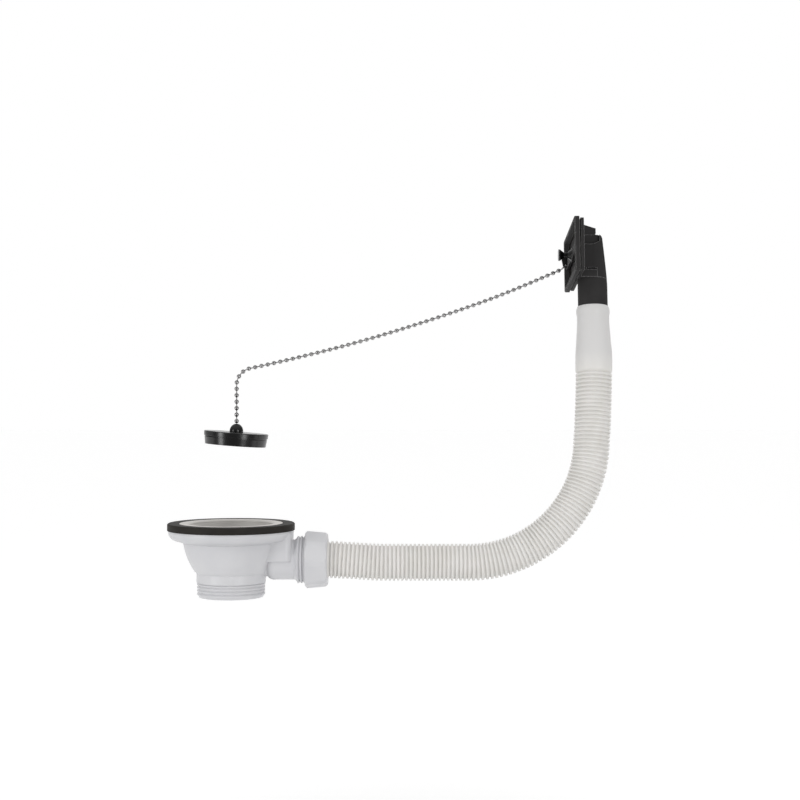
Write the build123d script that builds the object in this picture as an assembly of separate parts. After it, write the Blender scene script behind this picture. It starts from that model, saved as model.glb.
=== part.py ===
from build123d import *
import math
import os

os.makedirs("parts", exist_ok=True)

# All sizes are in millimetres. The origin is on the strainer's axis, on the face that seats under the sink.
# X points to the overflow, Z points up and Y points to the back.

# Seal under the sink
seal_radius = 44.7
seal_thickness = 4.8
seal_ledge = 6.7
seal_chamfer = 0.6

# Steel flange, pressed from sheet, and its thin gasket
steel = 0.85
rim_radius = 36.2
rim_width = 5.2
rim_drop = 0.1
dish_radius = 22.4
dish_depth = 9.8
rim_roll = 1.6
rim_roll_drop = 0.8
gasket_thickness = 0.95
gasket_inset = 0.4
rim_clearance = 0.4
drain_hole = 3.0
inner_drain_count = 6
inner_drain_row = 10.6
outer_drain_count = 12
outer_drain_row = 17.6

# Centre screw and its brass insert
screw_radius = 3.0
screw_length = 20.0
screw_point = 1.2
screw_head_radius = 6.0
screw_head_height = 2.2
screw_head_edge = 0.9
screw_crown_radius = 4.2
screw_slot = 1.2
screw_clearance = 0.2
insert_radius = 4.2
insert_length = 10.0

# Share of a thread's pitch that each flank takes
flank_share = 0.35

# Strainer body: a bowl below a wide flange
flange_radius = 44.0
flange_edge = 1.6
shoulder_radius = 38.5
shoulder_drop = 7.2
bowl_radius = 33.6
bowl_drop = 8.7
bowl_bulge = 1.3
bowl_wall = 2.6
collar_radius = 24.3
collar_drop = 30.2
collar_height = 6.4
collar_round = 1.5
outlet_thread_radius = 23.9
outlet_thread_depth = 0.9
outlet_thread_pitch = 2.31
outlet_thread_turns = 4
outlet_chamfer = 1.0
outlet_bore = 20.0
groove_inner = 34.4
groove_outer = 40.4
groove_depth = 3.6
groove_outer_depth = 1.8
boss_radius = 6.4
boss_length = 15.0
boss_gap = 2.0
rib_thickness = 2.4
rib_height = 9.0

# Side outlet for the overflow
spigot_drop = 25.8
neck_radius = 14.0
neck_root_radius = 11.9
neck_step = 26.0
neck_blend = 5.5
neck_bulge = 0.9
spigot_bore = 10.3
spigot_end = 60.0
spigot_thread_radius = 16.6
spigot_thread_depth = 1.3
spigot_thread_pitch = 2.31
spigot_thread_turns = 6
block_reach = 43.0
block_half_width = 16.4
block_corner = 4.0
block_top_drop = 1.0

# Union nut
nut_length = 15.7
nut_radius = 20.2
nut_end_radius = 19.0
nut_flats = 38.7
nut_taper = 4.9
nut_sides = 8
nut_turn = 4.5
nut_lip = 3.5
nut_chamfer = 1.4
nut_clearance = 0.25
hose_seal_thickness = 2.0

# Corrugated hose
hose_lean = 9.4
hose_bore = 10.8
hose_collar_thickness = 2.5
hose_collar_clearance = 0.9
hose_neck_radius = 12.6
hose_root_radius = 11.5
hose_crest_radius = 12.9
hose_pitch = 2.93
crest_share = 0.56
hose_level = 10.0
hose_slope_run = 32.0
hose_sag = 1.9
hose_bend_radius = 88.0
hose_sag_radius = 200.0
leg_x = 258.4
leg_lean = 4.8
leg_straight = 2.0
leg_knee_radius = 900.0
leg_corrugated_top = 107.1
# Smooth cuff: height above the corrugations and outer radius.
cuff_profile = (
    (1.2, 13.15),
    (12.0, 13.2),
    (16.0, 13.05),
    (22.0, 12.5),
    (31.0, 11.9),
    (38.0, 11.57),
    (42.2, 11.55),
    (43.8, 11.95),
    (45.4, 12.05),
    (47.0, 11.85),
    (48.3, 11.45),
    (49.1, 11.2),
)

# Overflow head: elbow, gasket and face plate. Its heights are from the head's middle.
head_height = 194.9
head_reach = 16.3
face_width = 72.0
face_height = 39.4
face_thickness = 3.5
face_corner = 2.5
face_rail = 3.6
face_taper = 18.0
face_edge = 0.5
hub_radius = 5.2
hub_thickness = 2.2
hub_bar = 5.0
head_gasket = 1.0
head_gasket_inset = 2.0
elbow_flange = 2.2
elbow_flange_inset = 0.9
elbow_radius = 10.7
elbow_proud = 0.2
elbow_wall = 2.0
elbow_insert = 20.0
elbow_rise = 13.3
elbow_top_reach = 6.4
elbow_back_slope = 6.4
elbow_crown = 4.0
elbow_drop = 18.8
cap_rise = 8.0
cap_sag = 2.5
cap_reach = 4.7
cap_step = 3.6
window_half_width = 8.6
window_rise = 3.0
window_drop = 12.0
band_height = 5.2
band_proud = 0.8
band_reach = 2.4
slot_height = 1.7
slot_depth = 1.2
slot_length = 7.8
elbow_boss_radius = 4.0
clip_width = 13.0
clip_reach = 12.0
clip_rise = 22.6
clip_slope = 4.3
clip_lip = 1.4
clip_undercut = 2.5
clip_teeth = 5
clip_tooth = 0.8

# Post for the chain, which is also the screw of the overflow head
post_reach = 8.0
post_disc_radius = 4.2
post_disc_thickness = 1.1
post_neck_radius = 2.1
post_flare = 2.6
post_shank_radius = 1.9
post_shank_length = 17.0
post_clearance = 0.1
lug_thickness = 1.4
lug_radius = 1.65
lug_drop = 8.0
lug_reach = 3.25
lug_eye = 0.75
lug_knee_drop = 4.0
lug_knee_reach = 5.7

# Ball chain
ball_radius = 1.55
ball_pitch = 4.5
ball_bore = 0.8
ball_end_run = 2.2
wire_radius = 0.42
link_end_gap = 0.5
ring_radius = 1.7
ring_slope = 44.0
chain_bend_radius = 12.0
chain_points = (
    (3.8, 0.0, 106.7),
    (40.0, 5.4, 114.9),
    (80.0, 11.2, 125.0),
    (120.0, 17.1, 137.0),
    (160.0, 23.0, 150.4),
    (200.0, 28.9, 165.2),
)

# Plug
plug_radius = 22.6
plug_edge = 0.4
plug_height = 9.2
plug_tier = 3.3
plug_tier_taper = 0.2
plug_groove = 0.8
plug_groove_depth = 0.8
plug_base_radius = 21.3
plug_lower_radius = 22.0
plug_hollow_radius = 17.0
plug_hollow_depth = 5.4
plug_boss_radius = 5.5
plug_tilt = 4.3
plug_top = 63.8
knob_radius = 4.75
knob_bulge = 1.15
knob_height = 5.9
knob_crown_radius = 1.5
knob_stem_radius = 2.4
knob_foot_radius = 3.4
knob_foot_height = 1.4
knob_ball_height = 3.1
knob_socket_clearance = 0.3
knob_mouth = 1.35
knob_mouth_foot = 0.55

# Places worked out from the sizes above
body_top = -seal_thickness
rim_inner = rim_radius - rim_width
seal_bore = rim_radius - seal_ledge
spigot_height = -spigot_drop
collar_top = body_top - collar_drop
thread_top = collar_top - collar_height
outlet_end = thread_top - outlet_thread_turns * outlet_thread_pitch - outlet_chamfer
ledge_height = -rim_drop - steel - gasket_thickness
dish_floor = -rim_drop - dish_depth
boss_top = dish_floor - steel - boss_gap
hose_start = spigot_end + hose_seal_thickness
collar_end = hose_start + hose_collar_thickness
nut_end = collar_end + nut_lip
nut_start = nut_end - nut_length
cuff_top = leg_corrugated_top + cuff_profile[-1][0]
face_front = leg_x - head_reach
stem_end = cuff_top - elbow_insert
elbow_half = elbow_radius + elbow_proud
elbow_top_back = leg_x + elbow_top_reach
elbow_top = head_height + elbow_rise
elbow_base = head_height - elbow_drop
cap_floor = head_height + cap_rise
gasket_front = face_front + face_thickness
flange_front = gasket_front + head_gasket
flange_back = flange_front + elbow_flange
ball_height = plug_top + knob_ball_height
plug_x = chain_points[0][0]
head_plane = Plane(origin=(face_front, 0, head_height), x_dir=(0, -1, 0), z_dir=(-1, 0, 0))
lean_axis = Axis((0, 0, spigot_height), (1, 0, 0))
plug_axis = Axis((plug_x, 0, ball_height), (0, 1, 0))
eye_place = Vector(0, -lug_drop, lug_reach)
ring_pull = Vector(0, -math.sin(math.radians(ring_slope)), math.cos(math.radians(ring_slope)))


# A solid turned about Z from its closed half section, drawn as radius and height.
def turned(*points):
    return revolve(make_face(Plane.XZ * Polyline(*points, close=True)), Axis.Z)


# Lays a solid that was turned about Z along the spigot's axis, so that its height becomes X.
def lying(solid):
    return Pos(0, 0, spigot_height) * Rot(0, 90, 0) * solid


# Leans the hose and the overflow head back about the spigot's axis.
def leaned(solid):
    return solid.rotate(lean_axis, -hose_lean)


# Hangs the plug and its knob at their tilt about the chain's end ball.
def tilted(solid):
    return solid.rotate(plug_axis, plug_tilt)


# The ridges of a thread down a turned outline: root, two crest corners and root for each turn.
def ridges(start, crest, depth, pitch, turns):
    points = []
    for turn in range(turns):
        top = start - turn * pitch
        points.append((crest - depth, top))
        points.append((crest, top - flank_share * pitch))
        points.append((crest, top - (1 - flank_share) * pitch))
    points.append((crest - depth, start - turns * pitch))
    return points


def body_seal():
    return turned(
        (seal_bore, body_top),
        (seal_radius, body_top),
        (seal_radius, -seal_chamfer),
        (seal_radius - seal_chamfer, 0),
        (rim_radius + rim_clearance, 0),
        (rim_radius + rim_clearance, ledge_height),
        (seal_bore, ledge_height),
    )


def flange_gasket():
    return turned(
        (rim_inner, ledge_height),
        (rim_radius - gasket_inset, ledge_height),
        (rim_radius - gasket_inset, ledge_height + gasket_thickness),
        (rim_inner, ledge_height + gasket_thickness),
    )


# The pressed dish: a flat rim, a cone that the plug seats in and a drilled floor.
def strainer_flange():
    dish = turned(
        (rim_radius, -rim_drop),
        (rim_inner, -rim_drop),
        (rim_inner - rim_roll, -rim_drop - rim_roll_drop),
        (dish_radius, dish_floor),
        (screw_radius + screw_clearance, dish_floor),
        (screw_radius + screw_clearance, dish_floor - steel),
        (dish_radius - steel, dish_floor - steel),
        (rim_inner - rim_roll - steel, -rim_drop - rim_roll_drop - steel),
        (rim_inner - steel, -rim_drop - steel),
        (rim_radius, -rim_drop - steel),
    )
    drill = Pos(0, 0, dish_floor) * Cylinder(drain_hole, 4 * steel)
    dish -= PolarLocations(inner_drain_row, inner_drain_count) * drill
    dish -= PolarLocations(outer_drain_row, outer_drain_count) * drill
    return dish


def centre_screw():
    tip = dish_floor - screw_length
    head_top = dish_floor + screw_head_height
    screw = turned(
        (0, head_top),
        (screw_crown_radius, head_top),
        (screw_head_radius, dish_floor + screw_head_edge),
        (screw_head_radius, dish_floor),
        (screw_radius, dish_floor),
        (screw_radius, tip + screw_point),
        (screw_radius - screw_point, tip),
        (0, tip),
    )
    slot = Box(2 * screw_head_radius, screw_slot, screw_head_height)
    return screw - Pos(0, 0, head_top) * slot


def insert_nut():
    bush = Cylinder(insert_radius, insert_length) - Cylinder(screw_radius, insert_length)
    return Pos(0, 0, boss_top - insert_length / 2) * bush


# The bowl's outer half section, from the flange down to the outlet thread.
def body_outside():
    shoulder = body_top - shoulder_drop
    bowl_top = body_top - bowl_drop
    bowl_foot = (collar_radius + collar_round, collar_top + collar_round)
    edge = (flange_radius, body_top - flange_edge)
    outline = Polyline((0, outlet_end), (0, body_top), (flange_radius, body_top), edge)
    outline += SagittaArc(edge, (shoulder_radius, shoulder), bowl_bulge)
    outline += Line((shoulder_radius, shoulder), (bowl_radius, bowl_top))
    outline += SagittaArc((bowl_radius, bowl_top), bowl_foot, bowl_bulge)
    thread = ridges(
        thread_top, outlet_thread_radius, outlet_thread_depth, outlet_thread_pitch, outlet_thread_turns
    )
    outlet_tip = (outlet_thread_radius - outlet_thread_depth - outlet_chamfer / 2, outlet_end)
    outline += Polyline(
        bowl_foot,
        (collar_radius, collar_top),
        (collar_radius, thread_top),
        *thread,
        outlet_tip,
        (0, outlet_end),
    )
    return revolve(make_face(Plane.XZ * outline), Axis.Z)


# The space inside the bowl and the outlet.
def body_inside():
    inner = bowl_radius - bowl_wall
    bowl_top = body_top - bowl_drop
    foot = (outlet_bore, collar_top)
    outline = Polyline((0, outlet_end), (0, body_top), (inner, body_top), (inner, bowl_top))
    outline += SagittaArc((inner, bowl_top), foot, bowl_bulge)
    outline += Polyline(foot, (outlet_bore, outlet_end), (0, outlet_end))
    return revolve(make_face(Plane.XZ * outline), Axis.Z)


# The neck and its threaded spigot, turned about the overflow's axis.
def overflow_spigot():
    thread_start = spigot_end - spigot_thread_turns * spigot_thread_pitch
    root = spigot_thread_radius - spigot_thread_depth
    thread = ridges(
        -thread_start, spigot_thread_radius, spigot_thread_depth, spigot_thread_pitch, spigot_thread_turns
    )
    neck_start = (neck_radius, neck_step + neck_blend)
    outline = Polyline((0, 0), (neck_root_radius, 0), (neck_root_radius, neck_step))
    outline += SagittaArc((neck_root_radius, neck_step), neck_start, -neck_bulge)
    outline += Polyline(
        neck_start,
        (neck_radius, thread_start - (root - neck_radius)),
        *[(radius, -height) for radius, height in thread],
        (0, spigot_end),
        (0, 0),
    )
    return lying(revolve(make_face(Plane.XZ * outline), Axis.Z))


# The flat-sided block that carries the neck under the flange.
def overflow_block():
    top = body_top - block_top_drop
    block = Box(
        block_reach,
        2 * block_half_width,
        top - spigot_height,
        align=(Align.MIN, Align.CENTER, Align.MIN),
    )
    block = fillet(block.edges().filter_by(Axis.Z), block_corner)
    return Pos(0, 0, spigot_height) * block


def strainer_body():
    inside = body_inside()
    bore = lying(Cylinder(spigot_bore, spigot_end, align=(Align.CENTER, Align.CENTER, Align.MIN)))
    groove_middle = (groove_inner + groove_outer) / 2
    groove = turned(
        (groove_inner, body_top),
        (groove_inner, body_top - groove_depth),
        (groove_middle, body_top - groove_depth),
        (groove_outer, body_top - groove_outer_depth),
        (groove_outer, body_top),
    )
    body = body_outside() + overflow_spigot() + overflow_block() - inside - bore - groove
    rib = Box(2 * bowl_radius, rib_thickness, rib_height)
    spider = Pos(0, 0, boss_top - boss_length + rib_height / 2) * (rib + Rot(0, 0, 90) * rib)
    boss = Cylinder(boss_radius, boss_length, align=(Align.CENTER, Align.CENTER, Align.MAX))
    body += (spider & inside) - bore + Pos(0, 0, boss_top) * boss
    insert_hole = Cylinder(insert_radius, insert_length, align=(Align.CENTER, Align.CENTER, Align.MAX))
    screw_hole = Cylinder(screw_radius + screw_clearance, 2 * screw_length)
    return body - Pos(0, 0, boss_top) * insert_hole - Pos(0, 0, boss_top) * screw_hole


def overflow_nut():
    envelope = turned(
        (0, nut_start),
        (nut_radius - nut_chamfer, nut_start),
        (nut_radius, nut_start + nut_chamfer),
        (nut_end_radius, nut_end - nut_chamfer),
        (nut_end_radius - nut_chamfer, nut_end),
        (0, nut_end),
    )
    flats = RegularPolygon(nut_flats / 2, nut_sides, major_radius=False, rotation=nut_turn)
    blank = envelope & Pos(0, 0, nut_start) * extrude(flats, nut_length, taper=nut_taper)
    bore = turned(
        (0, nut_start),
        (spigot_thread_radius + nut_clearance, nut_start),
        (spigot_thread_radius + nut_clearance, collar_end),
        (hose_neck_radius + nut_clearance, collar_end),
        (hose_neck_radius + nut_clearance, nut_end),
        (0, nut_end),
    )
    return lying(blank - bore)


def hose_seal():
    ring = Cylinder(spigot_thread_radius - hose_collar_clearance, hose_seal_thickness)
    ring -= Cylinder(spigot_bore, hose_seal_thickness)
    return lying(Pos(0, 0, (spigot_end + hose_start) / 2) * ring)


# The hose's middle line: level at the nut, a slight sag, one wide bend and a leg that comes upright slowly.
def hose_path():
    low = spigot_height - hose_sag
    level_end = hose_start + hose_level
    turn = math.radians(leg_lean)
    bend_run = hose_bend_radius * math.tan((math.pi / 2 - turn) / 2)
    rise = bend_run + leg_straight + leg_knee_radius * math.tan(turn / 2)
    return FilletPolyline(
        (hose_start, 0, spigot_height),
        (level_end, 0, spigot_height),
        (level_end + hose_slope_run, 0, low),
        (leg_x - rise * math.sin(turn), 0, low),
        (leg_x, 0, low + rise * math.cos(turn)),
        (leg_x, 0, cuff_top),
        radius=[hose_sag_radius, hose_sag_radius, hose_bend_radius, leg_knee_radius],
    )


# The stations of the hose's outside: distance along the middle line and radius.
def hose_stations(length):
    first = nut_end + hose_pitch / 2 - hose_start
    last = length - (cuff_top - leg_corrugated_top)
    count = round((last - first) / hose_pitch)
    pitch = (last - first) / count
    stations = [(0, hose_neck_radius), (first - hose_pitch / 4, hose_neck_radius)]
    for ring in range(count):
        start = first + ring * pitch
        stations.append((start, hose_root_radius))
        stations.append((start + (1 - crest_share) / 2 * pitch, hose_crest_radius))
        stations.append((start + (1 + crest_share) / 2 * pitch, hose_crest_radius))
    stations.append((last, hose_root_radius))
    return stations + [(last + rise, radius) for rise, radius in cuff_profile]


def overflow_hose():
    path = hose_path()
    rings = []
    for distance, radius in hose_stations(path.length):
        place = distance / path.length
        section = Plane(origin=path.position_at(place), x_dir=(0, 1, 0), z_dir=path.tangent_at(place))
        rings.append(Wire.make_circle(radius, section))
    outside = Part() + Solid.make_loft(rings, ruled=True)
    collar_radius = spigot_thread_radius - hose_collar_clearance
    collar = Cylinder(collar_radius, hose_collar_thickness, align=(Align.CENTER, Align.CENTER, Align.MIN))
    outside += lying(Pos(0, 0, hose_start) * collar)
    mouth = Plane(origin=path.position_at(0), x_dir=(0, 1, 0), z_dir=path.tangent_at(0))
    return leaned(outside - sweep(mouth * Circle(hose_bore), path=path))


# The housing's side view: a flat crown and a back that slopes out to the stem, inset for the space inside.
def elbow_side(inset):
    front = leg_x - 2 * elbow_half
    crown = elbow_top - inset
    crown_back = elbow_top_back - inset
    foot_back = crown_back + (crown - stem_end) * math.tan(math.radians(elbow_back_slope))
    side = FilletPolyline(
        (front, stem_end),
        (front, crown),
        (crown_back, crown),
        (foot_back, stem_end),
        radius=[0, 0, elbow_crown, 0],
        close=True,
    )
    return extrude(Plane.XZ * make_face(side), amount=2 * elbow_half, both=True)


# The housing's plan drawn up to its top: flat flanks and a back that carries on the stem's curve.
def elbow_column(inset, base):
    half = elbow_half - inset
    plan = Polyline((leg_x, half), (flange_front, half), (flange_front, -half), (leg_x, -half))
    plan += ThreePointArc((leg_x, -half), (leg_x + half, 0), (leg_x, half))
    return Pos(0, 0, base) * extrude(make_face(plan), elbow_top - base)


# The springy clip behind the plate, with teeth that grip the sink's wall.
def elbow_clip():
    front = flange_back - elbow_flange / 2
    tip = flange_back + clip_reach
    crest = head_height + clip_rise
    outline = Polyline(
        (front, cap_floor),
        (front, crest),
        (tip, crest - clip_slope),
        (tip, elbow_top + clip_lip),
        (tip - clip_undercut, cap_floor),
        close=True,
    )
    clip = extrude(Plane.XZ * make_face(outline), amount=clip_width / 2, both=True)
    step = clip_width / clip_teeth
    tooth = Rot(0, 0, 45) * Box(2 * clip_tooth, 2 * clip_tooth, 2 * clip_rise)
    for notch in range(clip_teeth):
        clip -= Pos(tip, (notch + 1 / 2) * step - clip_width / 2, crest) * tooth
    return clip


# The rib round the housing's foot, on its flanks only.
def elbow_band():
    reach = leg_x + band_reach - flange_front
    flank = Box(reach, 4 * elbow_half, band_height, align=(Align.MIN, Align.CENTER, Align.MIN))
    return elbow_column(-band_proud, elbow_base) & Pos(flange_front, 0, elbow_base) * flank


# The two recesses beside the cap, with a floor that sags, grown by the wall for the space inside.
def elbow_recesses(grow):
    front = (flange_front - grow, cap_floor - grow)
    back = (leg_x + cap_reach + grow, cap_floor - grow)
    over = elbow_top + elbow_wall
    outline = SagittaArc(front, back, -cap_sag)
    outline += Polyline(back, (back[0], over), (front[0], over), front)
    recess = extrude(Plane.XZ * make_face(outline), amount=cap_step + grow, both=True)
    return [Pos(0, side, 0) * recess for side in (-elbow_half, elbow_half)]


# The slots over the rib, one on each flank.
def elbow_slots():
    slot = Box(slot_length, 2 * slot_depth, slot_height, align=(Align.MAX, Align.CENTER, Align.MIN))
    place = Pos(leg_x + band_reach, 0, elbow_base + band_height)
    return [place * Pos(0, side, 0) * slot for side in (-elbow_half, elbow_half)]


# The way in from the face: a window in the flange that opens into the housing's wide part.
def elbow_window():
    top = head_height + window_rise
    bottom = head_height - window_drop
    window = Box(2 * elbow_flange, 2 * window_half_width, top - bottom)
    return Pos(flange_back - elbow_flange / 2, 0, (top + bottom) / 2) * window


def overflow_elbow():
    plate = RectangleRounded(
        face_width - 2 * elbow_flange_inset, face_height - 2 * elbow_flange_inset, face_corner
    )
    flange = head_plane * Pos(0, 0, -(flange_back - face_front)) * extrude(plate, elbow_flange)
    stem = Cylinder(elbow_radius, head_height - stem_end, align=(Align.CENTER, Align.CENTER, Align.MIN))
    passage_length = elbow_base + elbow_wall - stem_end
    passage = Cylinder(
        elbow_radius - elbow_wall, passage_length, align=(Align.CENTER, Align.CENTER, Align.MIN)
    )
    housing = elbow_column(0, elbow_base) + Pos(leg_x, 0, stem_end) * stem
    housing = (housing & elbow_side(0)) - elbow_recesses(0) - elbow_slots()
    cavity = elbow_column(elbow_wall, elbow_base + elbow_wall) & elbow_side(elbow_wall)
    cavity -= elbow_recesses(elbow_wall)
    elbow = flange + housing + elbow_band() + elbow_clip()
    elbow = elbow - cavity + flange - elbow_window()
    elbow -= Pos(leg_x, 0, stem_end) * passage
    boss_depth = elbow_top_back - flange_back
    boss = Pos(flange_back + boss_depth / 2, 0, head_height) * Rot(0, 90, 0)
    elbow += boss * Cylinder(elbow_boss_radius, boss_depth)
    hole = Cylinder(post_shank_radius + post_clearance, 2 * post_shank_length)
    drilled = elbow - Pos(face_front, 0, head_height) * Rot(0, 90, 0) * hole
    return leaned(drilled)


def head_gasket_ring():
    outer = RectangleRounded(
        face_width - 2 * head_gasket_inset, face_height - 2 * head_gasket_inset, face_corner
    )
    opening = RectangleRounded(face_width - 2 * face_rail, face_height - 2 * face_rail, face_corner)
    ring = Pos(0, 0, -face_thickness - head_gasket) * extrude(outer - opening, head_gasket)
    return leaned(head_plane * ring)


# The open face plate with its hub on two bars.
def overflow_face():
    plate = extrude(RectangleRounded(face_width, face_height, face_corner), -face_thickness)
    plate = chamfer(plate.faces().sort_by(Axis.Z)[-1].edges(), face_edge)
    mouth = RectangleRounded(face_width - 2 * face_rail, face_height - 2 * face_rail, face_corner)
    plate -= Pos(0, 0, -face_thickness) * extrude(mouth, face_thickness, taper=-face_taper)
    hub = Circle(hub_radius) + Rectangle(face_width - face_rail, hub_bar)
    hub -= Circle(post_shank_radius + post_clearance)
    plate += Pos(0, 0, -face_thickness) * extrude(hub, hub_thickness)
    return leaned(head_plane * plate)


# The lug under the post's neck, with the eye for the chain's ring.
def post_lug():
    root = hub_thickness - face_thickness + post_flare
    inner = (-lug_drop, lug_reach - lug_radius)
    outer = (-lug_drop, lug_reach + lug_radius)
    knee = (-lug_knee_drop, lug_knee_reach)
    outline = Polyline(inner, (0, root), (0, post_reach - post_flare), knee, outer)
    outline += ThreePointArc(outer, (-lug_drop - lug_radius, lug_reach), inner)
    plate = make_face(outline) - Pos(-lug_drop, lug_reach) * Circle(lug_eye)
    return extrude(Plane.YZ * plate, amount=lug_thickness / 2, both=True)


def chain_post():
    seat = hub_thickness - face_thickness
    post = turned(
        (0, post_reach),
        (post_disc_radius, post_reach),
        (post_disc_radius, post_reach - post_disc_thickness),
        (post_neck_radius, post_reach - post_disc_thickness - post_flare),
        (post_neck_radius, seat + post_flare),
        (post_disc_radius, seat),
        (post_shank_radius, seat),
        (post_shank_radius, -post_shank_length),
        (0, -post_shank_length),
    )
    return leaned(head_plane * (post + post_lug()))


# The wire ring in the lug's eye, pulled towards the chain.
def chain_loop():
    across = Vector(1, 0, 0)
    ring = Plane(origin=eye_place + ring_pull * ring_radius, x_dir=across, z_dir=across.cross(ring_pull))
    return leaned(head_plane * (ring * Torus(ring_radius, wire_radius)))


# The far side of the wire ring, where the chain's last link hooks in.
def chain_anchor():
    spot = head_plane * Pos(*(eye_place + ring_pull * (2 * ring_radius + 1.5 * wire_radius)))
    return leaned(Vertex(*spot.position)).center()


# The chain's route: up from the plug, one bend, then a slack run to the overflow head.
def chain_path():
    start = (plug_x, 0, ball_height)
    points = [Vector(*point) for point in (start, *chain_points)] + [chain_anchor()]
    radii = [chain_bend_radius]
    for before, here, after in zip(points[1:], points[2:], points[3:]):
        turn = math.radians((here - before).get_angle(after - here))
        run = min((here - before).length, (after - here).length)
        radii.append(0.45 * run / math.tan(turn / 2))
    return FilletPolyline(*points, radius=radii)


# The places of the balls along the chain, the first one inside the plug's knob.
def ball_frames():
    path = chain_path()
    count = round((path.length - ball_end_run) / ball_pitch)
    pitch = (path.length - ball_end_run) / count
    frames = []
    for ball in range(count + 1):
        place = ball * pitch / path.length
        frames.append(Plane(origin=path.position_at(place), z_dir=path.tangent_at(place)))
    return frames


# A rod between two points, shortened at both ends.
def rod(start, end, gap):
    along = end - start
    body = Cylinder(wire_radius, along.length - 2 * gap, align=(Align.CENTER, Align.CENTER, Align.MIN))
    return Plane(origin=start + along.normalized() * gap, z_dir=along) * body


def chain_balls():
    ball = Sphere(ball_radius) - Cylinder(ball_bore, 3 * ball_radius)
    return Compound([frame * ball.solid() for frame in ball_frames()[1:]])


def chain_links():
    frames = ball_frames()
    links = []
    for first, second in zip(frames[1:], frames[2:]):
        links.append(rod(first.origin, second.origin, link_end_gap).solid())
    links.append(rod(frames[-1].origin, chain_anchor(), 0).solid())
    return Compound(links)


# The end ball in the knob, crimped on the last link.
def chain_end():
    first, second = ball_frames()[:2]
    return Pos(*first.origin) * Sphere(ball_radius) + rod(first.origin, second.origin, link_end_gap / 2)


def plug():
    base = plug_top - plug_height
    groove_top = plug_top - plug_tier
    body = turned(
        (0, plug_top),
        (plug_radius - plug_edge, plug_top),
        (plug_radius, plug_top - plug_edge),
        (plug_radius - plug_tier_taper, groove_top),
        (plug_radius - plug_groove_depth, groove_top),
        (plug_radius - plug_groove_depth, groove_top - plug_groove),
        (plug_lower_radius, groove_top - plug_groove),
        (plug_base_radius, base),
        (plug_hollow_radius, base),
        (plug_hollow_radius, base + plug_hollow_depth),
        (plug_boss_radius, base + plug_hollow_depth),
        (plug_boss_radius, base + knob_foot_height),
        (0, base + knob_foot_height),
    )
    body -= Pos(0, 0, plug_top) * Cylinder(knob_stem_radius, 4 * plug_height)
    return tilted(Pos(plug_x, 0, 0) * body)


# The domed knob: a socket for the chain's end ball, and a stem through the plug.
def plug_knob():
    base = plug_top - plug_height
    dome = plug_top + knob_height
    outline = Line((0, dome), (knob_crown_radius, dome))
    outline += SagittaArc((knob_crown_radius, dome), (knob_radius, plug_top), knob_bulge)
    outline += Polyline(
        (knob_radius, plug_top),
        (knob_stem_radius, plug_top),
        (knob_stem_radius, base + knob_foot_height),
        (knob_foot_radius, base + knob_foot_height),
        (knob_stem_radius, base),
        (0, base),
        (0, dome),
    )
    knob = revolve(make_face(Plane.XZ * outline), Axis.Z)
    knob -= Pos(0, 0, ball_height) * Sphere(ball_radius + knob_socket_clearance)
    mouth_height = dome - ball_height
    mouth = Cone(knob_mouth_foot, knob_mouth, mouth_height, align=(Align.CENTER, Align.CENTER, Align.MIN))
    knob -= Pos(0, 0, ball_height) * mouth
    return tilted(Pos(plug_x, 0, 0) * knob)


nodes = {
    "body_seal": body_seal,
    "flange_gasket": flange_gasket,
    "strainer_flange": strainer_flange,
    "centre_screw": centre_screw,
    "insert_nut": insert_nut,
    "strainer_body": strainer_body,
    "overflow_nut": overflow_nut,
    "hose_seal": hose_seal,
    "overflow_hose": overflow_hose,
    "overflow_elbow": overflow_elbow,
    "overflow_gasket": head_gasket_ring,
    "overflow_face": overflow_face,
    "chain_post": chain_post,
    "chain_loop": chain_loop,
    "chain_balls": chain_balls,
    "chain_links": chain_links,
    "chain_end": chain_end,
    "plug": plug,
    "plug_knob": plug_knob,
}

for name, make in nodes.items():
    export_step(make(), os.path.join("parts", name + ".step"))
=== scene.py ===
import bpy
import math
import numpy as np
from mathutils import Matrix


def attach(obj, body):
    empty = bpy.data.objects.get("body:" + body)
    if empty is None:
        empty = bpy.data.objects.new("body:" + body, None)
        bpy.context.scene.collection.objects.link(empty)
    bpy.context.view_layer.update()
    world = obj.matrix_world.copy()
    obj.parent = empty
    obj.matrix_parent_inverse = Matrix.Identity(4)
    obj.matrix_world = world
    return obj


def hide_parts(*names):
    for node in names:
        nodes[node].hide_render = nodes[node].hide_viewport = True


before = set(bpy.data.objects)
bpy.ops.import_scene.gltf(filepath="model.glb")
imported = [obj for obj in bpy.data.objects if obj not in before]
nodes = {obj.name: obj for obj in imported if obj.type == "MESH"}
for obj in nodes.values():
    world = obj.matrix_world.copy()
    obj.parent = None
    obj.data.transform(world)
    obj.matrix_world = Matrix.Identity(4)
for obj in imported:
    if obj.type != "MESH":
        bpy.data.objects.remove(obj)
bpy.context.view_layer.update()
mm = 0.001
plainWhite = "#ffffff"
towardsBack = np.array([0.0, 1.0, 0.0])
print("frame loaded:", len(nodes), "nodes")


# sRGB hex to the linear colour that shaders take: a dark channel is divided by 12.92, and a lighter one
# is shifted, scaled and raised to the power 2.4
def linear(hexColour):
    srgb = [int(hexColour[i:i + 2], 16) / 255 for i in (1, 3, 5)]
    return [c / 12.92 if c <= 0.04045 else ((c + 0.055) / 1.055) ** 2.4 for c in srgb] + [1.0]


# one node with its settings, socket values and incoming links
def addNode(tree, kind, values=None, links=None, **settings):
    node = tree.nodes.new("ShaderNode" + kind)
    for name, value in settings.items():
        setattr(node, name, value)
    for socket, value in (values or {}).items():
        node.inputs[socket].default_value = value
    for socket, source in (links or {}).items():
        tree.links.new(source, node.inputs[socket])
    return node


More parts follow.
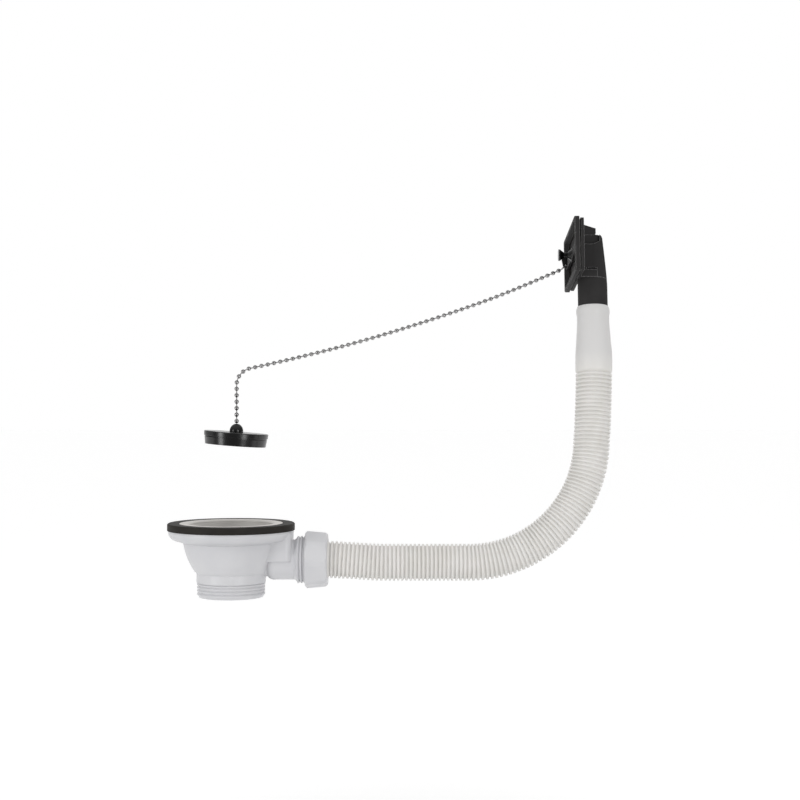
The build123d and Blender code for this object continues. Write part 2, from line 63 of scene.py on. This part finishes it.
# places of the colour sockets on a Mix node, where several sockets share one name
mixFactor, mixFirst, mixSecond, mixColour = 0, 6, 7, 2


# an empty node material with its Principled shader
def newMaterial(name):
    material = bpy.data.materials.new(name)
    material.use_nodes = True
    return material, material.node_tree, material.node_tree.nodes["Principled BSDF"]


# an object in the scene, at the origin
def addObject(name, data):
    thing = bpy.data.objects.new(name, data)
    bpy.context.scene.collection.objects.link(thing)
    return thing


# how many cells of a pattern fit into a metre: one over the cell's size, which is given in millimetres
def perMetre(size):
    return 1.0 / (size * mm)


# a skin that drifts: its colour goes from the look's shade to its own colour as the first noise crosses the
# span, and its roughness goes with the second noise from a little under the look's own to a little over it
def driftingSkin(tree, shader, kind, look, colourNoise, glossNoise):
    tint = addNode(tree, "ValToRGB", links={"Fac": colourNoise.outputs["Fac"]})
    for stop, place, tone in zip(tint.color_ramp.elements, kind["toneSpan"], ("shade", "colour")):
        stop.position, stop.color = place, linear(look[tone])
    gloss = addNode(tree, "MapRange", {"To Min": look["rough"] - kind["glossier"],
                                       "To Max": look["rough"] + kind["duller"]},
                    {"Value": glossNoise.outputs["Fac"]})
    tree.links.new(gloss.outputs["Result"], shader.inputs["Roughness"])
    return tint.outputs["Color"]


# sizes and depths in this and the other looks are in millimetres
polypropylene = {
    "index": 1.49, "bleed": (1.0, 0.95, 0.9),           # red light travels furthest under the skin
    "toneSpan": (0.35, 0.65), "cloudDetail": 3.0, "peelDetail": 2.0, "peelDepth": 0.05,
    "glossier": 0.05, "duller": 0.07, "edgeRays": 6,
}


# moulded polypropylene: pale and waxy, so light bleeds through it a little and its sheen is soft; its
# colour is cloudy, a fine orange peel breaks the gloss, mould edges look rounded, and a painted shade can
# grey it by a share each point carries
def mouldedPolypropylene(name, look):
    kind = polypropylene
    material, tree, shader = newMaterial(name)
    spots = addNode(tree, "TexCoord").outputs["Object"]
    cloud = addNode(tree, "TexNoise", {"Scale": perMetre(look["cloud"]), "Detail": kind["cloudDetail"]},
                    {"Vector": spots})
    peel = addNode(tree, "TexNoise", {"Scale": perMetre(look["peel"]), "Detail": kind["peelDetail"]},
                   {"Vector": spots})
    skin = driftingSkin(tree, shader, kind, look, cloud, peel)
    # painted shade: the colour is greyed by the share that each point carries
    if look["cuffShade"]:
        cuffShadeAmount = addNode(tree, "Attribute", attribute_name="cuffShadeShare")
        shadedSkin = addNode(tree, "Mix", {mixSecond: linear(look["cuffShade"])},
                         {mixFactor: cuffShadeAmount.outputs["Fac"], mixFirst: skin}, data_type="RGBA")
        skin = shadedSkin.outputs[mixColour]
    tree.links.new(skin, shader.inputs["Base Color"])
    bump = addNode(tree, "Bump", {"Strength": look["bump"], "Distance": kind["peelDepth"] * mm},
                   {"Height": peel.outputs["Fac"]})
    if look["edge"]:
        edge = addNode(tree, "Bevel", {"Radius": look["edge"] * mm}, samples=kind["edgeRays"])
        tree.links.new(edge.outputs["Normal"], bump.inputs["Normal"])
    tree.links.new(bump.outputs["Normal"], shader.inputs["Normal"])
    shader.inputs["IOR"].default_value = kind["index"]
    shader.inputs["Specular IOR Level"].default_value = look["shine"]
    shader.inputs["Subsurface Weight"].default_value = look["glow"]
    shader.inputs["Subsurface Radius"].default_value = kind["bleed"]
    shader.inputs["Subsurface Scale"].default_value = look["depth"] * mm
    return material


blackMoulding = {
    "index": 1.53, "toneSpan": (0.3, 0.7), "cloudDetail": 4.0, "grainDetail": 2.0, "grainDepth": 0.04,
    "glossier": 0.06, "duller": 0.06, "edgeRays": 6,
    "flat": 0.99, "turned": 0.85,           # likeness of face and rounded edge: no painted highlight, full painted highlight
    "reach": 3.0,
    "sunk": 0.55, "clear": 0.85,            # openness within the reach: never given the painted highlight, free to take it
}


# moulded black ABS or rubber: near black, a little cloudy, with a fine grain, and a painted highlight along
# its edges: paler where the rounded normal turns away from the face's own, times how clear of other faces it
# stands
def mouldedBlack(name, look):
    kind = blackMoulding
    material, tree, shader = newMaterial(name)
    spots = addNode(tree, "TexCoord").outputs["Object"]
    cloud = addNode(tree, "TexNoise", {"Scale": perMetre(look["cloud"]), "Detail": kind["cloudDetail"]},
                    {"Vector": spots})
    tint = driftingSkin(tree, shader, kind, look, cloud, cloud)
    edge = addNode(tree, "Bevel", {"Radius": look["edge"] * mm}, samples=kind["edgeRays"])
    face = addNode(tree, "NewGeometry").outputs["Normal"]
    likeness = addNode(tree, "VectorMath", links={0: face, 1: edge.outputs["Normal"]},
                       operation="DOT_PRODUCT")
    turned = addNode(tree, "MapRange", {"From Min": kind["flat"], "From Max": kind["turned"]},
                     {"Value": likeness.outputs["Value"]})
    openness = addNode(tree, "AmbientOcclusion", {"Distance": kind["reach"] * mm},
                       samples=kind["edgeRays"])
    clear = addNode(tree, "MapRange", {"From Min": kind["sunk"], "From Max": kind["clear"]},
                    {"Value": openness.outputs["AO"]})
    # painted highlight: the share of the pale edge colour, on rounded edges that stand clear of other faces
    paintedEdgeHighlight = addNode(tree, "Math", links={0: turned.outputs["Result"], 1: clear.outputs["Result"]},
                     operation="MULTIPLY")
    skin = addNode(tree, "Mix", {mixSecond: linear(look["edgeHighlightColour"])},
                   {mixFactor: paintedEdgeHighlight.outputs["Value"], mixFirst: tint}, data_type="RGBA")
    tree.links.new(skin.outputs[mixColour], shader.inputs["Base Color"])
    grain = addNode(tree, "TexNoise", {"Scale": perMetre(look["grain"]), "Detail": kind["grainDetail"]},
                    {"Vector": spots})
    bump = addNode(tree, "Bump", {"Strength": look["bump"], "Distance": kind["grainDepth"] * mm},
                   {"Height": grain.outputs["Fac"], "Normal": edge.outputs["Normal"]})
    tree.links.new(bump.outputs["Normal"], shader.inputs["Normal"])
    shader.inputs["IOR"].default_value = kind["index"]
    shader.inputs["Specular IOR Level"].default_value = look["shine"]
    return material


workedMetal = {
    "toneSpan": (0.0, 1.0), "hazeDetail": 4.0, "glossier": 0.04, "duller": 0.05, "edgeRays": 4,
    "lineDepth": 0.02, "lineWander": 1.5, "lineDetail": 2.0,
}


# drawn, plated or turned metal: it mirrors the tent, blurred by a slight haze; turned lines run round the
# object's upright axis, about three in each cell, too fine to show one by one, so they only soften the sheen
def brightMetal(name, look):
    kind = workedMetal
    material, tree, shader = newMaterial(name)
    spots = addNode(tree, "TexCoord").outputs["Object"]
    haze = addNode(tree, "TexNoise", {"Scale": perMetre(look["haze"]), "Detail": kind["hazeDetail"]},
                   {"Vector": spots})
    tint = driftingSkin(tree, shader, kind, look, haze, haze)
    tree.links.new(tint, shader.inputs["Base Color"])
    lines = addNode(tree, "TexWave", {"Scale": perMetre(look["lineCell"]), "Distortion": kind["lineWander"],
                                      "Detail": kind["lineDetail"]},
                    {"Vector": spots}, wave_type="RINGS", rings_direction="Z")
    edge = addNode(tree, "Bevel", {"Radius": look["edge"] * mm}, samples=kind["edgeRays"])
    bump = addNode(tree, "Bump", {"Strength": look["bump"], "Distance": kind["lineDepth"] * mm},
                   {"Height": lines.outputs["Fac"], "Normal": edge.outputs["Normal"]})
    tree.links.new(bump.outputs["Normal"], shader.inputs["Normal"])
    shader.inputs["Metallic"].default_value = 1.0
    return material


# a cool, plain white with a low gloss
whitePlastic = mouldedPolypropylene("moulded white polypropylene", {
    "colour": "#d6d6d8", "shade": "#d0d0d3", "rough": 0.36, "shine": 0.35, "edge": 0.6, "cloud": 25,
    "peel": 0.9, "bump": 0.1, "glow": 0.08, "depth": 1.2, "cuffShade": None})
# a warmer white that lets more light through, with a painted shade that greys the smooth cuff, which has no
# grooves to shade it
hosePlastic = mouldedPolypropylene("blown hose polypropylene", {
    "colour": "#e9e7e4", "shade": "#e3e1dd", "rough": 0.42, "shine": 0.35, "edge": 0, "cloud": 18,
    "peel": 1.2, "bump": 0.02, "glow": 0.15, "depth": 1.2, "cuffShade": "#dbdad9"})
# a dull black that mirrors almost nothing, with painted highlights along its edges
headPlastic = mouldedBlack("moulded black ABS", {
    "colour": "#353434", "shade": "#2f2e2e", "rough": 0.64, "shine": 0.12, "edge": 0.4, "cloud": 14,
    "grain": 0.5, "bump": 0.2, "edgeHighlightColour": "#a8a7a7"})
# a deep black that mirrors the lamps, with faint painted highlights along its edges
plugPlastic = mouldedBlack("polished black ABS", {
    "colour": "#101010", "shade": "#0b0b0b", "rough": 0.24, "shine": 0.5, "edge": 0.3, "cloud": 12,
    "grain": 0.8, "bump": 0.02, "edgeHighlightColour": "#262626"})
# a warm, dull black, with faint painted highlights along its edges
sealRubber = mouldedBlack("moulded sealing rubber", {
    "colour": "#2b2824", "shade": "#23201d", "rough": 0.62, "shine": 0.18, "edge": 0.5, "cloud": 9,
    "grain": 0.35, "bump": 0.3, "edgeHighlightColour": "#3d3934"})
# pale steel, rough enough to blur what it mirrors into an even sheen
stainless = brightMetal("polished stainless sheet", {
    "colour": "#e6e3df", "shade": "#d8d4cf", "rough": 0.52, "edge": 0.3, "haze": 12, "lineCell": 0.5,
    "bump": 0.04})
# a darker and smoother plate, so that each ball is dark and bright by turns
nickel = brightMetal("bright nickel plate", {
    "colour": "#b2b1b1", "shade": "#9f9e9e", "rough": 0.22, "edge": 0.1, "haze": 3, "lineCell": 0.6,
    "bump": 0.0})
# yellow and bright
brass = brightMetal("turned brass", {
    "colour": "#c9a457", "shade": "#b58f45", "rough": 0.25, "edge": 0.2, "haze": 3, "lineCell": 0.4,
    "bump": 0.2})
print("materials made")

finishes = {
    "strainer_body": whitePlastic, "overflow_nut": whitePlastic, "overflow_hose": hosePlastic,
    "overflow_elbow": headPlastic, "overflow_face": headPlastic, "chain_post": plugPlastic,
    "plug": plugPlastic, "plug_knob": plugPlastic, "body_seal": sealRubber, "flange_gasket": sealRubber,
    "hose_seal": sealRubber, "overflow_gasket": sealRubber, "strainer_flange": stainless,
    "centre_screw": stainless, "chain_loop": nickel, "chain_balls": nickel, "chain_links": nickel,
    "chain_end": nickel, "insert_nut": brass,
}
for nodeName, finish in finishes.items():
    nodes[nodeName].data.materials.clear()
    nodes[nodeName].data.materials.append(finish)


# a grid of points that is closed round, with rows along the piece and columns round it, becomes a smooth
# quad mesh; where the rows close too, the last row joins the first
def ringMesh(name, points, material, closedRows=False):
    rows, columns = points.shape[:2]
    index = np.arange(rows * columns).reshape(rows, columns)
    onward = np.roll(index, -1, axis=0)
    quads = np.stack([index, np.roll(index, -1, axis=1), np.roll(onward, -1, axis=1), onward], axis=-1)
    quads = (quads if closedRows else quads[:-1]).reshape(-1, 4)
    mesh = bpy.data.meshes.new(name)
    mesh.from_pydata(points.reshape(-1, 3), [], quads)
    mesh.polygons.foreach_set("use_smooth", np.ones(len(quads), bool))
    mesh.materials.append(material)
    piece = addObject(name, mesh)
    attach(piece, "kit")
    return piece


# circles round a line: each point of the line carries a circle of its own radius, square to the line,
# which starts at its side nearest the back
def tubePoints(line, along, radius, columns):
    first = towardsBack - (along @ towardsBack)[:, None] * along
    first /= np.linalg.norm(first, axis=1)[:, None]
    second = np.cross(along, first)
    angle = np.linspace(0, 2 * np.pi, columns, endpoint=False)[None, :, None]
    circle = np.cos(angle) * first[:, None] + np.sin(angle) * second[:, None]
    return line[:, None] + radius[:, None, None] * circle


# millimetres and degrees, in the hose's own upright plane, which then leans back
hose = {
    "start": 62.0, "axisHeight": -25.8,                         # inside the nut, on the spigot's axis
    "level": 4.07, "easing": 11.86, "slope": 20.19,             # runs of the dip after the nut
    "dip": 3.4, "sag": 1.9,                                     # the dip's angle and its fall
    "bend": 88.0, "legLean": 4.8, "legStraight": 2.0,           # bend's radius, and the leg above it
    "knee": 900.0, "legX": 258.4, "legTop": 156.2,              # knee's radius, and the upright leg
    "lean": 9.4,
    "firstRoot": 69.46, "corrugatedTop": 107.1, "pitch": 2.93,  # first corrugation's X, last one's height
    "root": 11.45, "crest": 12.95, "bore": 10.85,               # radii
    "neck": 12.6, "neckGap": 0.8,                               # radius in the nut, room to the first root
    "lipChamfer": 0.4, "cuffShadeRun": 16.0,                      # run over which the cuff's painted shade grows in
    "columns": 72, "boreRings": 120, "fineSteps": 6000,
    # one corrugation: share of the pitch, and height from root to crest
    "wave": [[0.0, 0.0], [0.17, 0.03], [0.205, 0.3], [0.245, 0.8], [0.29, 1.0], [0.5, 1.0], [0.71, 1.0],
             [0.755, 0.8], [0.795, 0.3], [0.83, 0.03]],
    # the cuff with its bead and lip: distance above the corrugations, and radius
    "cuff": [[0.0, 11.5], [0.5, 12.4], [1.2, 13.0], [2.2, 13.16], [9.0, 13.22], [14.0, 13.14],
             [17.0, 12.95], [22.0, 12.5], [31.0, 11.92], [37.0, 11.6], [41.6, 11.54], [42.6, 11.64],
             [43.6, 11.88], [44.6, 12.02], [45.4, 12.06], [46.4, 11.97], [47.3, 11.8], [48.2, 11.5],
             [48.8, 11.3], [49.1, 11.1], [49.1, 10.95]],
}


# the hose's runs: distances at which its heading changes, the headings there, and the whole length; a bend
# takes its radius times the tangent of half its angle from each straight run beside it, and the leg, which
# leans at the bend, comes upright over the knee's wide arc
def hoseRuns():
    upright = math.pi / 2
    dip = math.radians(hose["dip"])
    turn = math.radians(hose["legLean"])
    bendRun = hose["bend"] * math.tan((upright - turn) / 2)
    kneeRun = hose["knee"] * math.tan(turn / 2)
    rise = bendRun + hose["legStraight"] + kneeRun
    level = hose["legX"] - rise * math.sin(turn) - bendRun - hose["start"]
    upper = hose["legTop"] - hose["axisHeight"] + hose["sag"] - rise * math.cos(turn) - kneeRun
    dips = np.cumsum([hose["level"], hose["easing"], hose["slope"], hose["easing"]])
    runs = np.cumsum([level, hose["bend"] * (upright - turn), hose["legStraight"], hose["knee"] * turn])
    headings = [0, -dip, -dip, 0, 0, upright - turn, upright - turn, upright]
    return [*dips, *runs], headings, runs[-1] + upper


# the hose's middle line and its direction at these distances: the running sums of the heading's cosine and
# sine over fine steps of the distance
def hoseLine(distance, runs, headings):
    fine = np.linspace(0, distance.max(), hose["fineSteps"])
    heading = np.interp(fine, runs, headings)
    step = np.diff(fine, prepend=0)
    x = hose["start"] + np.cumsum(np.cos(heading) * step)
    z = hose["axisHeight"] + np.cumsum(np.sin(heading) * step)
    here = np.interp(distance, fine, heading)
    flat = np.zeros(len(distance))
    line = np.stack([np.interp(distance, fine, x), flat, np.interp(distance, fine, z)], axis=1)
    return line, np.stack([np.cos(here), flat, np.sin(here)], axis=1)


# leans points back: a turn about the spigot's axis by the lean's angle
def leaned(points):
    lean = math.radians(hose["lean"])
    up = points[..., 2] - hose["axisHeight"]
    back = points[..., 1] * math.cos(lean) + up * math.sin(lean)
    high = hose["axisHeight"] + up * math.cos(lean) - points[..., 1] * math.sin(lean)
    return np.stack([points[..., 0], back, high], axis=-1)


# the hose: circles along its middle line whose radius repeats one corrugation's profile with the distance,
# then the cuff's turned profile, its lip and the smooth bore back to the start; a painted shade greys it by
# the share of the shade's run that a point lies beyond the corrugations
def makeHose():
    runs, headings, total = hoseRuns()
    first = hose["firstRoot"] - hose["start"]
    last = total - (hose["legTop"] - hose["corrugatedTop"])
    count = round((last - first) / hose["pitch"])
    share, height = np.array(hose["wave"]).T
    turns = (np.arange(count)[:, None] + share).ravel()
    corrugated = first + turns * (last - first) / count
    wave = hose["root"] + (hose["crest"] - hose["root"]) * np.tile(height, count)
    cuff = np.array(hose["cuff"])
    bore = np.linspace(total - hose["lipChamfer"], 0, hose["boreRings"])
    distance = np.concatenate([[0, first - hose["neckGap"]], corrugated, last + cuff[:, 0], bore])
    radius = np.concatenate([[hose["neck"]] * 2, wave, cuff[:, 1], np.full(len(bore), hose["bore"])])
    line, along = hoseLine(distance, runs, headings)
    points = tubePoints(line, along, radius, hose["columns"])
    piece = ringMesh("corrugatedHose", leaned(points) * mm, hosePlastic, closedRows=True)
    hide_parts("overflow_hose")
    # painted shade: each point's share of the cuff's grey
    cuffShade = np.repeat(np.clip((distance - last) / hose["cuffShadeRun"], 0, 1), hose["columns"])
    piece.data.attributes.new("cuffShadeShare", "FLOAT", "POINT").data.foreach_set("value", cuffShade)
    print("hose:", count, "corrugations,", len(piece.data.polygons), "faces")


makeHose()

# millimetres
chain = {
    "ballRadius": 1.6, "wireRadius": 0.42, "pitch": 4.5,
    "startRun": 0.25, "endRun": 2.2,            # room before the first pitch, and after the last ball
    "wireStart": 0.5,                           # where the wire starts, as a share of the pitch
    "ringsEach": 9, "columns": 16, "splineOrder": 3, "splineSteps": 24,
    "route": [(3.8, 0.0, 66.9), (3.8, 0.0, 80.0), (3.8, 0.0, 92.9), (3.8, 0.0, 101.3), (9.1, 0.8, 107.9),
              (17.3, 2.0, 109.7), (40.0, 5.4, 114.9), (80.0, 11.2, 125.0), (120.0, 17.1, 137.0),
              (160.0, 23.0, 150.4), (200.0, 28.9, 165.2), (235.95, 34.28, 181.28)],
}


# the chain's middle line, read from a NURBS spline with the route's points as its control points
def chainLine():
    route = np.array(chain["route"]) * mm
    curve = bpy.data.curves.new("chainRoute", "CURVE")
    curve.dimensions = "3D"
    spline = curve.splines.new("NURBS")
    spline.points.add(len(route) - 1)
    spline.points.foreach_set("co", np.hstack([route, np.ones((len(route), 1))]).ravel())
    spline.order_u = chain["splineOrder"]
    spline.use_endpoint_u = True
    spline.resolution_u = chain["splineSteps"]
    holder = bpy.data.objects.new("chainRoute", curve)
    mesh = bpy.data.meshes.new_from_object(holder)
    line = np.zeros(len(mesh.vertices) * 3)
    mesh.vertices.foreach_get("co", line)
    bpy.data.objects.remove(holder)
    bpy.data.meshes.remove(mesh)
    return line.reshape(-1, 3)


# the vectors at these places along a line, each coordinate in proportion between the line's points
def between(place, run, vectors):
    return np.stack([np.interp(place, run, vectors[:, k]) for k in range(3)], axis=1)


# the ball chain: circles along the route whose radius is a half circle's at each ball and the wire's
# between the balls, closed flat at both ends
def makeChain():
    line = chainLine()
    run = np.concatenate([[0], np.cumsum(np.linalg.norm(np.diff(line, axis=0), axis=1))])
    length = float(run[-1])
    row = length / mm - chain["startRun"] - chain["endRun"]
    count = round(row / chain["pitch"])
    pitch = row / count
    ball, wire = chain["ballRadius"], chain["wireRadius"]
    neck = math.asin(wire / ball)
    sweep = np.linspace(neck - math.pi / 2, math.pi / 2 - neck, chain["ringsEach"])
    balls = chain["startRun"] + np.arange(1, count + 1)[:, None] * pitch + ball * np.sin(sweep)
    start, end = chain["wireStart"] * pitch, length / mm
    place = np.concatenate([[start, start], balls.ravel(), [end, end]]) * mm
    radius = np.concatenate([[0, wire], np.tile(ball * np.cos(sweep), count), [wire, 0]]) * mm
    along = between(place, run, np.gradient(line, axis=0))
    along /= np.linalg.norm(along, axis=1)[:, None]
    points = tubePoints(between(place, run, line), along, radius, chain["columns"])
    piece = ringMesh("ballChain", points, nickel)
    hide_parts("chain_balls", "chain_links")
    print("chain:", count, "balls,", round(length, 4), "m")


makeChain()


# one where a ray comes from the camera, a mirror or a window, otherwise nothing: the largest of three flags
def seenDirectly(tree):
    path = addNode(tree, "LightPath")
    mirrored = addNode(tree, "Math", operation="MAXIMUM",
                       links={0: path.outputs["Is Glossy Ray"], 1: path.outputs["Is Transmission Ray"]})
    seen = addNode(tree, "Math", operation="MAXIMUM",
                   links={0: path.outputs["Is Camera Ray"], 1: mirrored.outputs["Value"]})
    return seen.outputs["Value"]


# metres
paper = {
    "height": -0.25, "size": 16.0, "front": -0.3, "colour": "#f4f4f4", "rough": 0.9,
    "middle": (0.12, 0.03), "shadeRadius": 0.1, "openRadius": 0.4,    # inside the first the glow is lower, a painted shade under the kit that also lets its real shadow show; between them it grows
    "shadedGlow": 0.22, "openGlow": 0.3,
}


def makeFloor():
    half = paper["size"] / 2
    corners = np.array([[-1, 0, 0], [1, 0, 0], [1, 2, 0], [-1, 2, 0]]) * half
    corners[:, 1] += paper["front"]
    corners[:, 2] = paper["height"]
    mesh = bpy.data.meshes.new("studioFloor")
    mesh.from_pydata(corners, [], [(0, 1, 2, 3)])
    material, tree, shader = newMaterial("matt white paper")
    shader.inputs["Base Color"].default_value = linear(paper["colour"])
    shader.inputs["Roughness"].default_value = paper["rough"]
    shader.inputs["Emission Color"].default_value = linear(plainWhite)
    spots = addNode(tree, "TexCoord").outputs["Object"]
    middle = (*paper["middle"], paper["height"])
    away = addNode(tree, "VectorMath", {1: middle}, {0: spots}, operation="DISTANCE")
    # painted shade: the glow is lower under the kit, a darker pool there that also lets its real shadow show
    glow = addNode(tree, "MapRange", {"From Min": paper["shadeRadius"], "From Max": paper["openRadius"],
                                      "To Min": paper["shadedGlow"], "To Max": paper["openGlow"]},
                   {"Value": away.outputs["Value"]}, interpolation_type="SMOOTHSTEP")
    lift = addNode(tree, "Math", links={0: glow.outputs["Result"], 1: seenDirectly(tree)},
                   operation="MULTIPLY")
    tree.links.new(lift.outputs["Value"], shader.inputs["Emission Strength"])
    mesh.materials.append(material)
    addObject("studioFloor", mesh)


# strengths of the light, and the parts of a ray's direction between which they change
tent = {
    "front": 0.2, "back": 1.0, "backFrom": 0.6, "backFull": 0.95,   # mirrored, by how far back a ray points
    "ceiling": 0.4, "ceilingFrom": 0.2, "ceilingFull": 0.9,         # added to it, by how far up a ray points
    "low": 0.12, "high": 0.92,                                      # on matt faces, from below and above
}


# a light tent: plain white to the camera; to mirrors dim in front and at the sides, white in a cone at the
# back and brighter towards its ceiling; to matt faces a light that grows evenly from below to above
def makeWorld():
    world = bpy.data.worlds.new("lightTent")
    world.use_nodes = True
    tree = world.node_tree
    background = tree.nodes["Background"]
    background.inputs["Color"].default_value = linear(plainWhite)
    way = addNode(tree, "SeparateXYZ", links={"Vector": addNode(tree, "TexCoord").outputs["Generated"]})
    walls = addNode(tree, "MapRange", {"From Min": tent["backFrom"], "From Max": tent["backFull"],
                                       "To Min": tent["front"], "To Max": tent["back"]},
                    {"Value": way.outputs["Y"]}, interpolation_type="SMOOTHSTEP")
    ceiling = addNode(tree, "MapRange", {"From Min": tent["ceilingFrom"], "From Max": tent["ceilingFull"],
                                         "To Max": tent["ceiling"]},
                      {"Value": way.outputs["Z"]}, interpolation_type="SMOOTHSTEP")
    mirrored = addNode(tree, "Math", links={0: walls.outputs["Result"], 1: ceiling.outputs["Result"]},
                       operation="ADD")
    matt = addNode(tree, "MapRange", {"From Min": -1.0, "To Min": tent["low"], "To Max": tent["high"]},
                   {"Value": way.outputs["Z"]})
    lit = addNode(tree, "MapRange", links={"Value": seenDirectly(tree), "To Min": matt.outputs["Result"],
                                           "To Max": mirrored.outputs["Value"]})
    path = addNode(tree, "LightPath")
    strength = addNode(tree, "MapRange", {"To Max": 1.0},
                       {"Value": path.outputs["Is Camera Ray"], "To Min": lit.outputs["Result"]})
    tree.links.new(strength.outputs["Result"], background.inputs["Strength"])
    bpy.context.scene.world = world


# two soft boxes, in metres and watts
lamps = {
    "size": (0.36, 0.8), "power": 5.2, "aim": (0.10, 0.0, 0.06),
    "places": {"leftLamp": (-1.05, -0.85, 0.02), "rightLamp": (0.84, -1.19, 0.02)},
}


# an area lamp shines straight down until it is turned, so it is tipped by the angle between straight up and
# its way from the aim, and then turned about the upright axis to the side on which it stands
def makeLamps():
    for name, place in lamps["places"].items():
        lamp = bpy.data.lights.new(name, "AREA")
        lamp.shape = "RECTANGLE"
        lamp.size, lamp.size_y = lamps["size"]
        lamp.energy = lamps["power"]
        holder = addObject(name, lamp)
        holder.location = place
        x, y, z = np.array(place) - np.array(lamps["aim"])
        holder.rotation_euler = (math.atan2(math.hypot(x, y), z), 0, math.atan2(x, -y))


# metres, with the lens and its sensor in millimetres
camera = {"place": (0.1188, -1.056, 0.0865), "lens": 67.5, "sensor": 36.0}


def makeCamera():
    data = bpy.data.cameras.new("photoCamera")
    data.lens = camera["lens"]
    data.sensor_width = camera["sensor"]
    holder = addObject("photoCamera", data)
    holder.location = camera["place"]
    holder.rotation_euler = (math.pi / 2, 0, 0)
    bpy.context.scene.camera = holder


makeFloor()
makeWorld()
makeLamps()
makeCamera()
bpy.context.scene.view_settings.view_transform = "Standard"
print("studio set")
